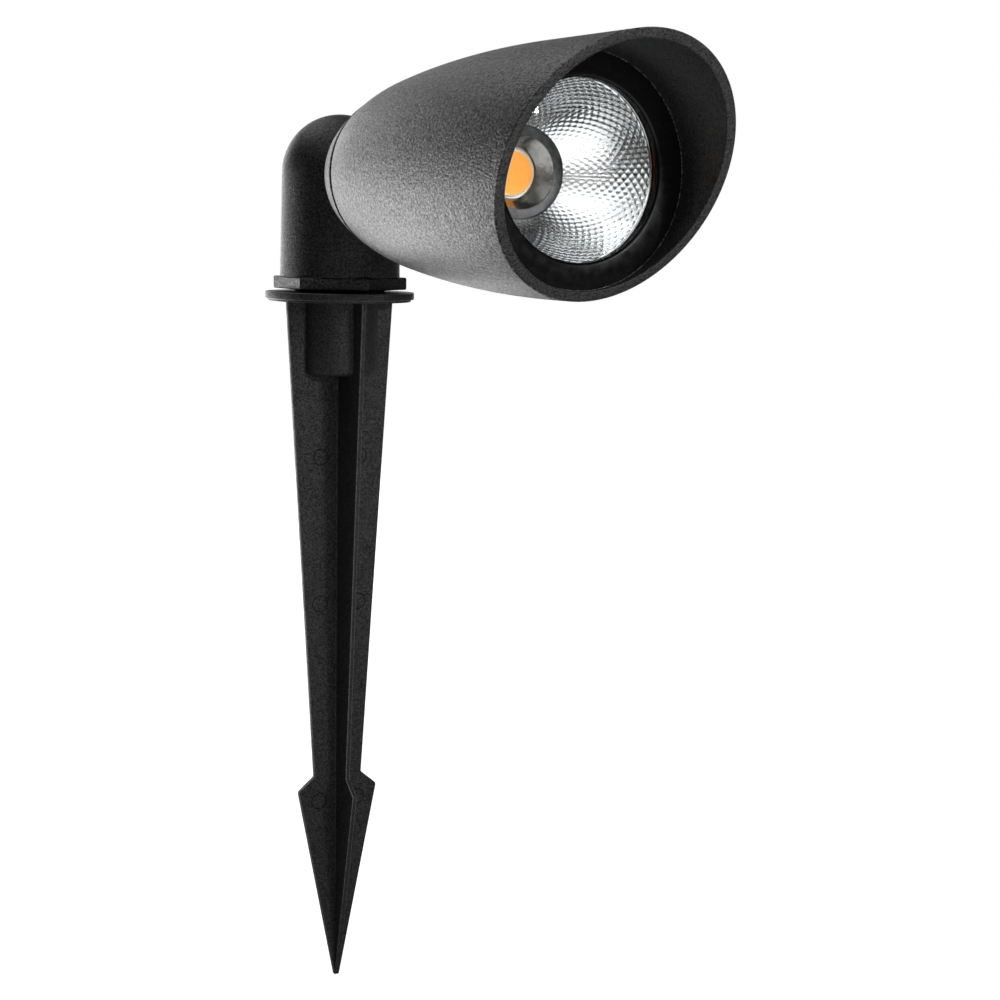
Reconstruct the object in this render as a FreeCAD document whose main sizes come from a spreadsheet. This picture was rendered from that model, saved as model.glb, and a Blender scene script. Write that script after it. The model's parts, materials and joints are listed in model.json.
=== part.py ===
import FreeCAD, Part
import os
import re
import Sketcher

# Adjustable garden spotlight on a ground stake.
#
# Frame: +Z up, the stake's axis is Z, the head points to -Y. The origin is the centre of the flange's
# underside, which rests on the soil. Millimetres.
#
# Three bodies: the stake, the knuckle that pans on it about Z, and the head that tilts on the knuckle
# about an axis along X.

DIMENSIONS = {
    # Ground stake
    "stake_depth": 243.1,
    "flange_radius": 25.6,
    "flange_thickness": 2.2,
    "hub_radius": 13.2,
    "hub_depth": 26.3,
    "hub_edge": 1.0,
    "hub_bore_depth": 23.0,
    "fin_thickness": 1.55,
    "fin_half_width": 20.1,
    "neck_half_width": 9.05,
    "neck_height": 74.2,
    "barb_half_width": 15.1,
    "barb_height": 69.2,
    "barb_rounding": 1.5,
    "tip_half_width": 0.8,
    "mark_radius": 2.9,
    "mark_depth": 0.2,
    "mark_offset": 7.3,
    "mark_height_low": 65.2,
    "mark_height_middle": 136.4,
    "mark_height_high": 188.2,
    # Clearances
    "running_gap": 0.05,
    # Threaded nipple, seal and lock nut
    "thread_radius": 10.475,
    "nipple_bore": 7.5,
    "nipple_reach": 20.0,
    "seal_radius": 15.5,
    "nut_bottom": 3.2,
    "nut_top": 7.4,
    "nut_flats": 40.0,
    # Knuckle post
    "post_radius": 20.0,
    "post_foot_radius": 20.6,
    "post_wall": 3.9,
    "post_floor": 5.0,
    "pivot_height": 42.4,
    "lap_face": 3.6,
    "lap_wall": 3.0,
    "shoulder_height": 22.2,
    "shoulder_floor": 2.5,
    "chamber_radius": 10.0,
    # Pivot
    "pivot_boss_radius": 6.2,
    "pivot_boss_face": 5.0,
    "insert_radius": 3.9,
    "insert_length": 10.0,
    "screw_radius": 3.0,
    "screw_end": 14.5,
    "screw_head_radius": 5.0,
    "screw_head_height": 4.5,
    "screw_socket_flats": 5.0,
    "screw_socket_depth": 2.8,
    "spring_washer_thickness": 1.0,
    "friction_thickness": 1.2,
    "friction_radius": 18.5,
    "friction_bore": 10.5,
    # Cable gland
    "gland_height": 17.5,
    "gland_seat": 19.0,
    "gland_flats": 15.0,
    "gland_flange": 3.5,
    "gland_stub_radius": 6.0,
    "gland_stub_length": 6.4,
    "gland_bore": 3.6,
    "gland_boss_radius": 8.5,
    "gland_boss_length": 6.0,
    "gland_seal_radius": 4.9,
    "gland_seal_bore": 3.4,
    "gland_seal_length": 3.5,
    # Knuckle arm
    "arm_face": 4.9,
    "arm_outer_face": 15.4,
    "arm_half_height": 10.0,
    "arm_edge": 2.5,
    "lobe_wall": 3.5,
    "lobe_cavity_depth": 3.4,
    "arm_duct_radius": 3.5,
    "arm_duct_offset": 10.0,
    "arm_duct_start": 8.0,
    "plate_radius": 15.0,
    "plate_back": 22.5,
    "neck_radius": 8.0,
    "neck_duct_radius": 4.5,
    "neck_end": 58.0,
    "counterbore_floor": 13.8,
    "counterbore_radius": 5.4,
    # Head: distances along its axis are measured from the stake's axis
    "head_axis_height": 41.4,
    "cap_back": 34.05,
    "cap_front": 47.5,
    "cap_back_radius": 21.4,
    "cap_front_radius": 25.8,
    "cap_edge": 0.5,
    "cap_arc": 170.0,
    "cap_wall": 3.0,
    "cap_back_wall": 3.3,
    "seal_recess": 1.3,
    "housing_back": 49.4,
    "housing_back_radius": 26.19,
    "housing_edge": 0.4,
    "housing_radius": 36.1,
    "housing_taper_end": 150.0,
    "housing_taper_arc": 575.0,
    "housing_taper_join": 72.0,
    "housing_wall": 2.95,
    "housing_back_wall": 4.0,
    "rim_distance": 176.95,
    "rim_slope": 26.9,
    "neck_nut_flats": 22.0,
    "neck_nut_thickness": 4.0,
    # Driver
    "sleeve_back": 58.4,
    "sleeve_radius": 19.5,
    "sleeve_wall": 1.2,
    "sleeve_flange_radius": 32.8,
    "board_back": 60.5,
    "board_length": 47.5,
    "board_width": 25.0,
    "board_bottom": 12.6,
    "board_thickness": 1.6,
    # LED unit
    "ledge_back": 112.5,
    "ledge_front": 116.5,
    "ledge_bore": 28.0,
    "sleeve_flange": 1.2,
    "spreader_front": 121.9,
    "spreader_screw_circle": 30.3,
    "pad_thickness": 0.3,
    "cob_side": 13.5,
    "cob_front": 123.3,
    "phosphor_radius": 5.5,
    "phosphor_height": 0.5,
    "dam_radius": 6.2,
    "dam_height": 0.8,
    "holder_front": 127.7,
    "holder_radius": 12.1,
    "holder_base_radius": 17.5,
    "holder_base_front": 125.7,
    "holder_recess_radius": 9.8,
    "holder_mouth_radius": 9.6,
    "holder_throat_radius": 6.6,
    "holder_screw_offset": 14.6,
    "lead_radius": 0.9,
    "lead_spacing": 2.2,
    "lead_drop": 8.4,
    # Optics
    "reflector_neck": 12.2,
    "reflector_back": 127.8,
    "reflector_mouth": 25.9,
    "reflector_front": 152.4,
    "reflector_arc": 84.0,
    "reflector_wall": 1.2,
    "reflector_rim_radius": 32.8,
    "lens_radius": 30.5,
    "lens_back": 152.7,
    "lens_thickness": 3.0,
    "bezel_back": 155.8,
    "bezel_front": 158.7,
    "bezel_bore": 25.3,
    "bezel_chamfer": 0.5,
}

doc = FreeCAD.newDocument("GardenSpotlight")
sheet = doc.addObject("Spreadsheet::Sheet", "Dimensions")
for row, (alias, size) in enumerate(DIMENSIONS.items(), start=1):
    sheet.set(f"A{row}", alias)
    sheet.set(f"B{row}", str(size))
    sheet.setAlias(f"B{row}", alias)
doc.recompute()

# Directions a piece's own Z can face. "forward" also turns its own Y upwards.
FACING = {
    "up": FreeCAD.Rotation(),
    "forward": FreeCAD.Rotation(FreeCAD.Vector(1, 0, 0), 90),
    "backward": FreeCAD.Rotation(FreeCAD.Vector(1, 0, 0), -90),
    "right": FreeCAD.Rotation(FreeCAD.Vector(0, 1, 0), 90),
}
ORIGIN = ("0", "0", "0")
HEAD_AXIS = ("0", "0", "head_axis_height")
PIVOT = ("0", "0", "pivot_height")

nodes = []


# ---------------------------------------------------------------- helpers

def formula(text):
    """An expression in which each dimension's name becomes its cell in the sheet."""
    def cell(match):
        word = match.group(0)
        return f"Dimensions.{word}" if word in DIMENSIONS else word
    return re.sub(r"[a-z][a-z0-9_]*", cell, text)


def value(text):
    return float(sheet.evalExpression(formula(text)))


def bind(piece, **sizes):
    for size, text in sizes.items():
        piece.setExpression(size, formula(text))


def place(piece, facing="up", at=ORIGIN):
    piece.Placement = FreeCAD.Placement(FreeCAD.Vector(), FACING[facing])
    for axis, text in zip("xyz", at):
        if text != "0":
            piece.setExpression(f"Placement.Base.{axis}", formula(text))
    return piece


def node(piece, name):
    piece.Label = name
    nodes.append(piece)
    return piece


def cylinder(name, radius, height, facing="up", at=ORIGIN):
    solid = doc.addObject("Part::Cylinder", name)
    bind(solid, Radius=radius, Height=height)
    return place(solid, facing, at)


def ring(name, radius, bore, height, facing="up", at=ORIGIN):
    outside = cylinder(name + "_outside", radius, height, facing, at)
    inside = cylinder(name + "_inside", bore, height, facing, at)
    return cut(name, outside, inside)


def box(name, size, at=ORIGIN):
    """A box whose corner nearest the origin of its frame is at the given place."""
    solid = doc.addObject("Part::Box", name)
    bind(solid, Length=size[0], Width=size[1], Height=size[2])
    return place(solid, "up", at)


def hexagon(name, flats, height, facing="up", at=ORIGIN):
    """A hexagonal prism with two of its corners on its frame's X axis."""
    solid = doc.addObject("Part::Prism", name)
    solid.Polygon = 6
    bind(solid, Circumradius=f"({flats}) / sqrt(3)", Height=height)
    return place(solid, facing, at)


def ball(name, radius, at=ORIGIN):
    solid = doc.addObject("Part::Sphere", name)
    bind(solid, Radius=radius)
    return place(solid, "up", at)


def fuse(name, *solids):
    joined = doc.addObject("Part::MultiFuse", name)
    joined.Shapes = list(solids)
    return joined


def cut(name, base, *tools):
    piece = doc.addObject("Part::Cut", name)
    piece.Base = base
    piece.Tool = tools[0] if len(tools) == 1 else fuse(name + "_tools", *tools)
    return piece


def common(name, first, second):
    piece = doc.addObject("Part::Common", name)
    piece.Base = first
    piece.Tool = second
    return piece


def group(name, *solids):
    piece = doc.addObject("Part::Compound", name)
    piece.Links = list(solids)
    return piece


def side(start, end, corner):
    """The line, or the arc of a given radius, that runs from one corner of an outline to the next."""
    if len(corner) == 2:
        return Part.LineSegment(start, end)
    radius = value(corner[2])
    chord = end - start
    sagitta = radius - (radius**2 - chord.Length**2 / 4) ** 0.5
    left = FreeCAD.Vector(-chord.y, chord.x, 0).normalize()
    bulge = left * (-sagitta if corner[3] == "centre left" else sagitta)
    return Part.Arc(start, (start + end) / 2 + bulge, end)


def outline_sketch(body, name, role, outline):
    """A closed outline on one of a body's origin planes. A corner is (across, along), with the radius
    of the arc to the next corner and the side of its centre after them where that side isn't straight."""
    sketch = body.newObject("Sketcher::SketchObject", name)
    plane = [feature for feature in body.Origin.OriginFeatures if feature.Role == role][0]
    sketch.AttachmentSupport = (plane, [""])
    sketch.MapMode = "FlatFace"
    corners = [FreeCAD.Vector(value(corner[0]), value(corner[1]), 0) for corner in outline]
    ends = []
    for index, corner in enumerate(outline):
        start, end = corners[index], corners[(index + 1) % len(corners)]
        sketch.addGeometry(side(start, end, corner), False)
        forwards = (sketch.getPoint(index, 1) - start).Length < (sketch.getPoint(index, 2) - start).Length
        ends.append((1, 2) if forwards else (2, 1))
    for index, corner in enumerate(outline):
        following = (index + 1) % len(corners)
        start = ends[index][0]
        sketch.addConstraint(Sketcher.Constraint("Coincident", index, ends[index][1],
                                                 following, ends[following][0]))
        for kind, axis, text, size in (("DistanceX", -2, corner[0], corners[index].x),
                                       ("DistanceY", -1, corner[1], corners[index].y)):
            if text == "0":
                sketch.addConstraint(Sketcher.Constraint("PointOnObject", index, start, axis))
                continue
            number = sketch.addConstraint(Sketcher.Constraint(kind, -1, 1, index, start, size))
            sketch.setExpression(f"Constraints[{number}]", formula(text))
        if len(corner) > 2:
            number = sketch.addConstraint(Sketcher.Constraint("Radius", index, value(corner[2])))
            sketch.setExpression(f"Constraints[{number}]", formula(corner[2]))
    return sketch


def revolved(name, outline):
    """A body turned about its own Z from an outline of (radius, height) corners."""
    body = doc.addObject("PartDesign::Body", name)
    sketch = outline_sketch(body, name + "_outline", "XZ_Plane", outline)
    turned = body.newObject("PartDesign::Revolution", name + "_turned")
    turned.Profile = sketch
    turned.ReferenceAxis = (sketch, ["V_Axis"])
    turned.Angle = 360
    return body


def edges_at(shape, radius, height):
    """Names of the edges whose middle is at a given distance from Z and a given height."""
    names = []
    for number, edge in enumerate(shape.Edges, start=1):
        middle = edge.CenterOfMass
        if abs((middle.x**2 + middle.y**2) ** 0.5 - radius) < 0.01 and abs(middle.z - height) < 0.01:
            names.append(f"Edge{number}")
    return names


# ---------------------------------------------------------------- stake

def make_ground_stake():
    """Flange, hub and four tapering fins with an arrow barb, drawn upwards from the tip."""
    flange = "stake_depth + flange_thickness"
    body = revolved("stake_moulding", [
        ("0", "stake_depth - hub_depth"),
        ("hub_radius - hub_edge", "stake_depth - hub_depth", "hub_edge", "centre left"),
        ("hub_radius", "stake_depth - hub_depth + hub_edge"),
        ("hub_radius", "stake_depth"),
        ("flange_radius", "stake_depth"),
        ("flange_radius", flange),
        ("0", flange),
    ])
    outline = outline_sketch(body, "fin_outline", "XZ_Plane", [
        ("0", "0"),
        ("tip_half_width", "0"),
        ("barb_half_width", "barb_height"),
        ("neck_half_width", "neck_height"),
        ("fin_half_width", "stake_depth"),
        ("0", "stake_depth"),
    ])
    fin = body.newObject("PartDesign::Pad", "fin")
    fin.Profile = outline
    fin.SideType = "Symmetric"
    bind(fin, Length="fin_thickness")
    fins = body.newObject("PartDesign::PolarPattern", "four_fins")
    fins.Originals = [fin]
    fins.Axis = ([f for f in body.Origin.OriginFeatures if f.Role == "Z_Axis"][0], [""])
    fins.Angle = 360
    fins.Occurrences = 4
    body.Tip = fins
    doc.recompute()
    barbs = body.newObject("PartDesign::Fillet", "rounded_barbs")
    barbs.Base = (fins, edges_at(fins.Shape, value("barb_half_width"), value("barb_height")))
    bind(barbs, Radius="barb_rounding")
    body.Tip = barbs

    bore = cylinder("hub_bore", "thread_radius + running_gap", "hub_bore_depth + flange_thickness + 1",
                    at=("0", "0", "stake_depth - hub_bore_depth"))
    marks = [bore]
    for fin, across in (("left", "-mark_offset"), ("right", "mark_offset")):
        for height in ("low", "middle", "high"):
            centre = (across, "-fin_thickness / 2 - 1", "mark_height_" + height)
            marks.append(cylinder(f"ejector_mark_{fin}_{height}", "mark_radius", "mark_depth + 1",
                                  "backward", centre))
    stake = cut("ground_stake", body, *marks)
    return place(stake, "up", ("0", "0", "-stake_depth"))


# ---------------------------------------------------------------- knuckle

def make_threaded_nipple():
    return ring("threaded_nipple", "thread_radius", "nipple_bore", "nipple_reach + nut_top + post_floor",
                at=("0", "0", "-nipple_reach"))


def make_flange_seal():
    thickness = "nut_bottom - flange_thickness - running_gap"
    return ring("flange_seal", "seal_radius", "thread_radius", thickness,
                at=("0", "0", "flange_thickness + running_gap"))


def make_lock_nut():
    """Hexagonal nut with one corner towards the front."""
    blank = hexagon("nut_blank", "nut_flats", "nut_top - nut_bottom", at=("0", "0", "nut_bottom"))
    blank.Placement.Rotation = FreeCAD.Rotation(FreeCAD.Vector(0, 0, 1), 30)
    thread = cylinder("nut_thread", "thread_radius", "nut_top")
    return cut("lock_nut", blank, thread)


def make_knuckle_post():
    """Hollow, slightly tapered post under a dome whose right-hand third is cut away for the arm's lobe."""
    outside = revolved("post_outside", [
        ("0", "nut_top"),
        ("post_foot_radius", "nut_top"),
        ("post_radius", "pivot_height", "post_radius", "centre left"),
        ("0", "pivot_height + post_radius"),
    ])
    hollow = revolved("post_hollow", [
        ("0", "nut_top + post_floor"),
        ("post_radius - post_wall", "nut_top + post_floor"),
        ("post_radius - post_wall", "pivot_height", "post_radius - post_wall", "centre left"),
        ("0", "pivot_height + post_radius - post_wall"),
    ])
    reach = "2 * post_foot_radius"
    solid_side = box("solid_side", (reach, "2 * " + reach, "3 * post_radius"),
                     ("lap_face - lap_wall", "-" + reach, "shoulder_height - shoulder_floor"))
    lap = box("lap_space", (reach, "2 * " + reach, "3 * post_radius"),
              ("lap_face", "-" + reach, "shoulder_height"))
    shell = cut("post_shell", outside, cut("post_hollow_left", hollow, solid_side), lap)

    boss = cylinder("pivot_boss", "pivot_boss_radius", "post_radius - 1.5 - pivot_boss_face", "right",
                    ("1.5 - post_radius", "0", "pivot_height"))
    gland_boss = cylinder("gland_boss", "gland_boss_radius", "gland_boss_length", "backward",
                          ("0", "gland_seat - gland_boss_length - 0.5", "gland_height"))
    gland_boss_inside = common("gland_boss_inside", gland_boss, revolved("gland_boss_limit", [
        ("0", "nut_top"),
        ("post_radius - post_wall / 2", "nut_top"),
        ("post_radius - post_wall / 2", "pivot_height"),
        ("0", "pivot_height"),
    ]))
    bosses = fuse("post_with_bosses", shell, boss, gland_boss_inside)

    nipple_hole = cylinder("nipple_hole", "thread_radius", "post_floor + 1", at=("0", "0", "nut_top - 0.5"))
    chamber = cylinder("chamber", "chamber_radius", "lap_wall + 1", "right",
                       ("lap_face - lap_wall - 0.5", "0", "pivot_height"))
    insert_hole = cylinder("insert_hole", "insert_radius", "insert_length", "right",
                           ("-pivot_boss_face - insert_length", "0", "pivot_height"))
    gland_hole = cylinder("gland_hole", "gland_stub_radius", "2 * gland_stub_length", "backward",
                          ("0", "gland_seat - gland_stub_length", "gland_height"))
    seat = box("gland_seat_face", ("2 * gland_flats", "5", "gland_flats + 0.2"),
               ("-gland_flats", "gland_seat", "gland_height - gland_flats / 2 - 0.1"))
    return cut("knuckle_post", bosses, nipple_hole, chamber, insert_hole, gland_hole, seat)


def make_gland_body():
    """Low hexagonal gland at the back of the post, drawn outwards from its seat."""
    flange = hexagon("gland_flange", "gland_flats", "gland_flange")
    stub = cylinder("gland_stub", "gland_stub_radius", "gland_stub_length",
                    at=("0", "0", "-gland_stub_length"))
    bore = cylinder("gland_bore_hole", "gland_bore", "2 * gland_stub_length",
                    at=("0", "0", "-gland_stub_length"))
    recess = cylinder("gland_recess", "gland_seal_radius", "gland_flange + 1",
                      at=("0", "0", "gland_flange - gland_seal_length"))
    gland = cut("gland_body", fuse("gland_blank", flange, stub), bore, recess)
    return place(gland, "backward", ("0", "gland_seat", "gland_height"))


def make_gland_seal():
    return ring("gland_seal", "gland_seal_radius", "gland_seal_bore", "gland_seal_length", "backward",
                ("0", "gland_seat + gland_flange - gland_seal_length", "gland_height"))


def make_friction_washer():
    return ring("friction_washer", "friction_radius", "friction_bore", "friction_thickness", "right",
                ("lap_face", "0", "pivot_height"))


def make_pivot_insert():
    return ring("pivot_insert", "insert_radius", "screw_radius", "insert_length", "right",
                ("-pivot_boss_face - insert_length", "0", "pivot_height"))


def make_pivot_spring_washer():
    return ring("pivot_spring_washer", "screw_head_radius", "screw_radius", "spring_washer_thickness",
                "right", ("counterbore_floor + running_gap", "0", "pivot_height"))


def make_pivot_screw():
    """Socket-head screw along X, drawn from the tip of its shank."""
    head_start = "counterbore_floor + running_gap + spring_washer_thickness + screw_end"
    shank = cylinder("screw_shank", "screw_radius", head_start)
    head = cylinder("screw_head", "screw_head_radius", "screw_head_height", at=("0", "0", head_start))
    socket = hexagon("screw_socket", "screw_socket_flats", "screw_head_height",
                     at=("0", "0", head_start + " + screw_head_height - screw_socket_depth"))
    screw = cut("pivot_screw", fuse("screw_blank", shank, head), socket)
    return place(screw, "right", ("-screw_end", "0", "pivot_height"))


# ---------------------------------------------------------------- head

def make_arm_bar():
    """The straight arm between lobe and plate, with rounded long edges."""
    body = doc.addObject("PartDesign::Body", "arm_bar")
    outline = outline_sketch(body, "arm_bar_outline", "XZ_Plane", [
        ("arm_face", "0"),
        ("arm_outer_face", "0"),
        ("arm_outer_face", "2 * arm_half_height"),
        ("arm_face", "2 * arm_half_height"),
    ])
    bar = body.newObject("PartDesign::Pad", "arm_bar_pad")
    bar.Profile = outline
    bind(bar, Length="plate_back + 4")
    doc.recompute()
    outer = [f"Edge{number}" for number, edge in enumerate(bar.Shape.Edges, start=1)
             if abs(edge.CenterOfMass.x - value("arm_outer_face")) < 0.01
             and edge.Length > value("plate_back")]
    rounded = body.newObject("PartDesign::Fillet", "arm_bar_rounded")
    rounded.Base = (bar, outer)
    bind(rounded, Radius="arm_edge")
    body.Tip = rounded
    return place(body, "up", ("0", "0", "pivot_height - arm_half_height"))


def make_knuckle_arm():
    """Right-hand lobe of the knuckle, with the arm, the plate and the hollow threaded neck."""
    lobe = common("lobe", ball("lobe_ball", "post_radius", PIVOT),
                  box("lobe_side", ("post_radius", "2 * post_radius", "2 * post_radius"),
                      ("arm_face", "-post_radius", "pivot_height - post_radius")))
    bar = make_arm_bar()
    plate = cylinder("arm_plate", "plate_radius", "cap_back - plate_back", "forward",
                     ("0", "-plate_back", "head_axis_height"))
    neck = cylinder("neck", "neck_radius", "neck_end - cap_back", "forward",
                    ("0", "-cap_back", "head_axis_height"))
    blank = fuse("arm_blank", lobe, bar, plate, neck)

    cavity = common("lobe_cavity", ball("cavity_ball", "post_radius - lobe_wall", PIVOT),
                    box("cavity_side", ("lobe_cavity_depth", "2 * post_radius", "2 * post_radius"),
                        ("arm_face + lap_wall", "-post_radius", "pivot_height - post_radius")))
    chamber = cylinder("arm_chamber", "chamber_radius", "lap_wall + 1", "right",
                       ("arm_face - 0.5", "0", "pivot_height"))
    duct = cylinder("arm_duct", "arm_duct_radius", "plate_back + 5.5 - arm_duct_start", "forward",
                    ("arm_duct_offset", "-arm_duct_start", "pivot_height"))
    cross = cylinder("arm_cross_duct", "arm_duct_radius", "arm_duct_offset", "right",
                     ("0", "-plate_back - 4.5", "(pivot_height + head_axis_height) / 2"))
    neck_duct = cylinder("neck_duct", "neck_duct_radius", "neck_end", "forward",
                         ("0", "-plate_back - 2", "head_axis_height"))
    screw_hole = cylinder("screw_hole", "screw_radius + 2 * running_gap", "2 * post_radius", "right", PIVOT)
    counterbore = cylinder("counterbore", "counterbore_radius", "post_radius", "right",
                           ("counterbore_floor", "0", "pivot_height"))
    return cut("knuckle_arm", blank, cavity, chamber, duct, cross, neck_duct, screw_hole, counterbore)


def make_rear_cap():
    """Tail of the bullet shape: a cup that the neck nut pulls against the housing."""
    cap = revolved("rear_cap", [
        ("neck_radius", "cap_back"),
        ("cap_back_radius - cap_edge", "cap_back"),
        ("cap_back_radius", "cap_back + cap_edge", "cap_arc", "centre left"),
        ("cap_front_radius", "cap_front"),
        ("cap_front_radius - cap_wall", "cap_front"),
        ("cap_back_radius - cap_wall", "cap_back + cap_back_wall"),
        ("neck_radius", "cap_back + cap_back_wall"),
    ])
    return place(cap, "forward", HEAD_AXIS)


def make_neck_seal():
    seal = ring("neck_seal", "cap_front_radius - seal_recess", "neck_radius", "housing_back - cap_front",
                at=("0", "0", "cap_front"))
    return place(seal, "forward", HEAD_AXIS)


def make_neck_nut():
    start = "housing_back + housing_back_wall"
    blank = hexagon("neck_nut_blank", "neck_nut_flats", "neck_nut_thickness", at=("0", "0", start))
    thread = cylinder("neck_nut_thread", "neck_radius", "neck_nut_thickness", at=("0", "0", start))
    return place(cut("neck_nut", blank, thread), "forward", HEAD_AXIS)


def make_head_housing():
    """Bullet-shaped shell whose open end is cut at a slant, so that it carries on above as a hood.

    Its side is straight at the front, then a flat arc, then a tighter one that meets the first without a
    corner and ends at the back wall. Both arcs keep their centres for the inner face."""
    start = "(housing_back + housing_edge)"
    flat_arc, join = "housing_taper_arc", "housing_taper_join"
    lean = f"asin((housing_taper_end - {join}) / {flat_arc})"
    join_radius = f"(housing_radius - {flat_arc} * (1 - cos({lean})))"
    chord = f"sqrt(({join} - {start})^2 + ({join_radius} - housing_back_radius)^2)"
    turn = f"(atan(({join_radius} - housing_back_radius) / ({join} - {start})) - {lean})"
    tight_arc = f"({chord} / (2 * sin({turn})))"
    centre_along = f"({join} + {tight_arc} * sin({lean}))"
    centre_radius = f"({join_radius} - {tight_arc} * cos({lean}))"

    ledge_inside = (f"housing_radius - {flat_arc} + "
                    f"sqrt(({flat_arc} - housing_wall)^2 - (housing_taper_end - ledge_back)^2)")
    join_inside = (f"{join_radius} - housing_wall * cos({lean})", f"{join} + housing_wall * sin({lean})")
    floor = "housing_back + housing_back_wall"
    floor_inside = f"{centre_radius} + sqrt(({tight_arc} - housing_wall)^2 - ({centre_along} - ({floor}))^2)"
    length = "rim_distance + housing_radius"
    shell = revolved("housing_shell", [
        ("neck_radius", "housing_back"),
        ("housing_back_radius - housing_edge", "housing_back"),
        ("housing_back_radius", start, tight_arc, "centre left"),
        (join_radius, join, flat_arc, "centre left"),
        ("housing_radius", "housing_taper_end"),
        ("housing_radius", length),
        ("housing_radius - housing_wall", length),
        ("housing_radius - housing_wall", "ledge_front"),
        ("ledge_bore", "ledge_front"),
        ("ledge_bore", "ledge_back"),
        (ledge_inside, "ledge_back", f"{flat_arc} - housing_wall", "centre right"),
        (*join_inside, f"{tight_arc} - housing_wall", "centre right"),
        (floor_inside, floor),
        ("neck_radius", floor),
    ])
    beyond = doc.addObject("Part::Box", "beyond_the_rim")
    bind(beyond, Length="6 * housing_radius", Width="6 * housing_radius", Height="4 * housing_radius")
    slant = FreeCAD.Rotation(FreeCAD.Vector(1, 0, 0), value("rim_slope"))
    corner = slant.multVec(FreeCAD.Vector(-value("3 * housing_radius"), -value("3 * housing_radius"), 0))
    beyond.Placement = FreeCAD.Placement(corner + FreeCAD.Vector(0, 0, value("rim_distance")), slant)
    tools = [beyond]
    for number in range(3):
        hole = cylinder(f"ledge_hole_{number}", "1.5", "ledge_front - ledge_back + 1",
                        at=("0", "0", "ledge_back - 0.5"))
        tools.append(on_circle(hole, number, 3, "spreader_screw_circle"))
    return place(cut("head_housing", shell, *tools), "forward", HEAD_AXIS)


def on_circle(piece, number, count, radius):
    """Moves a piece to its place on a circle about its frame's Z, the first one at the top."""
    spin = FreeCAD.Rotation(FreeCAD.Vector(0, 0, 1), 360 * number / count + 90)
    place_on_circle = spin.multVec(FreeCAD.Vector(value(radius), 0, 0))
    piece.Placement.Base = piece.Placement.Base + place_on_circle
    return piece


def make_driver_sleeve():
    """Insulating tube round the driver; its front flange is clamped under the heat spreader."""
    sleeve = revolved("sleeve_blank", [
        ("sleeve_radius - sleeve_wall", "sleeve_back"),
        ("sleeve_radius", "sleeve_back"),
        ("sleeve_radius", "ledge_front"),
        ("sleeve_flange_radius", "ledge_front"),
        ("sleeve_flange_radius", "ledge_front + sleeve_flange"),
        ("sleeve_radius - sleeve_wall", "ledge_front + sleeve_flange"),
    ])
    holes = [on_circle(cylinder(f"sleeve_hole_{number}", "1.5", "2 * sleeve_flange",
                                at=("0", "0", "ledge_front - sleeve_flange / 2")),
                       number, 3, "spreader_screw_circle") for number in range(3)]
    return place(cut("driver_sleeve", sleeve, *holes), "forward", HEAD_AXIS)


def head_box(name, width, height, length, across, bottom, start):
    """A block in the head: its width is centred on a distance across, and it starts at a distance along."""
    block = box(name, (width, height, length), (f"({across}) - ({width}) / 2", bottom, start))
    return block


def make_driver_parts():
    """The circuit board along the sleeve and the parts that stand on it."""
    top = "-board_bottom + board_thickness"
    board = head_box("board_block", "board_width", "board_thickness", "board_length",
                     "0", "-board_bottom", "board_back")
    core = head_box("transformer_core", "13", "14", "12", "1", top, "board_back + 24")
    winding = cylinder("transformer_winding", "6.8", "9", "backward",
                       ("1", f"{top} + 2.5", "board_back + 30"))
    transformer = fuse("transformer_block", core, winding)
    capacitor = cylinder("capacitor_can", "4.2", "16", at=("-6.5", f"{top} + 4.2", "board_back + 4"))
    inductor_low = cylinder("inductor_low", "4.5", "1.2", "backward", ("5.5", top, "board_back + 14"))
    inductor_core = cylinder("inductor_core", "3.4", "7", "backward", ("5.5", top, "board_back + 14"))
    inductor_high = cylinder("inductor_high", "4.5", "1.2", "backward",
                             ("5.5", f"{top} + 6", "board_back + 14"))
    inductor = fuse("inductor_spool", inductor_low, inductor_core, inductor_high)
    rectifier = head_box("rectifier_block", "5", "3", "6.5", "5.5", top, "board_back + 1.5")
    connector = head_box("connector_block", "8", "5.2", "9", "0", top, "board_back + board_length - 9")
    parts = {
        "driver_board": board,
        "driver_transformer": transformer,
        "driver_capacitor": capacitor,
        "driver_inductor": inductor,
        "driver_rectifier": rectifier,
        "driver_connector": connector,
    }
    for name, part in parts.items():
        node(place_in_head(name, part), name)


def place_in_head(name, piece):
    """Moves a block or a disc that was drawn in the head's own frame into the lamp's frame."""
    return place(group(name, piece), "forward", HEAD_AXIS)


def make_lead(name, across):
    start = "board_back + board_length"
    wire = cylinder(name + "_wire", "lead_radius", f"cob_front - 0.5 - ({start})",
                    at=(across, "-lead_drop", start))
    return place_in_head(name, wire)


def make_heat_spreader():
    back = "ledge_front + sleeve_flange"
    disc = cylinder("spreader_disc", "sleeve_flange_radius", f"spreader_front - ({back})",
                    at=("0", "0", back))
    tools = [on_circle(cylinder(f"spreader_hole_{number}", "1.5", "8", at=("0", "0", f"{back} - 1")),
                       number, 3, "spreader_screw_circle") for number in range(3)]
    for across in ("lead_spacing", "-lead_spacing"):
        tools.append(cylinder("lead_hole", "lead_radius + 0.2", "8",
                              at=(across, "-lead_drop", f"{back} - 1")))
    for across in ("holder_screw_offset", "-holder_screw_offset"):
        tools.append(cylinder("holder_thread", "1.25", "8", at=(across, "0", f"{back} - 1")))
    return place(cut("heat_spreader", disc, *tools), "forward", HEAD_AXIS)


def screw(name, thread, head_radius, head_height, seat, tip, at):
    """A plain pan-head screw along the head's axis."""
    shank = cylinder(name + "_shank", thread, f"({seat}) - ({tip})", at=(at[0], at[1], tip))
    head = cylinder(name + "_head", head_radius, head_height, at=(at[0], at[1], seat))
    return fuse(name, shank, head)


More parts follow.
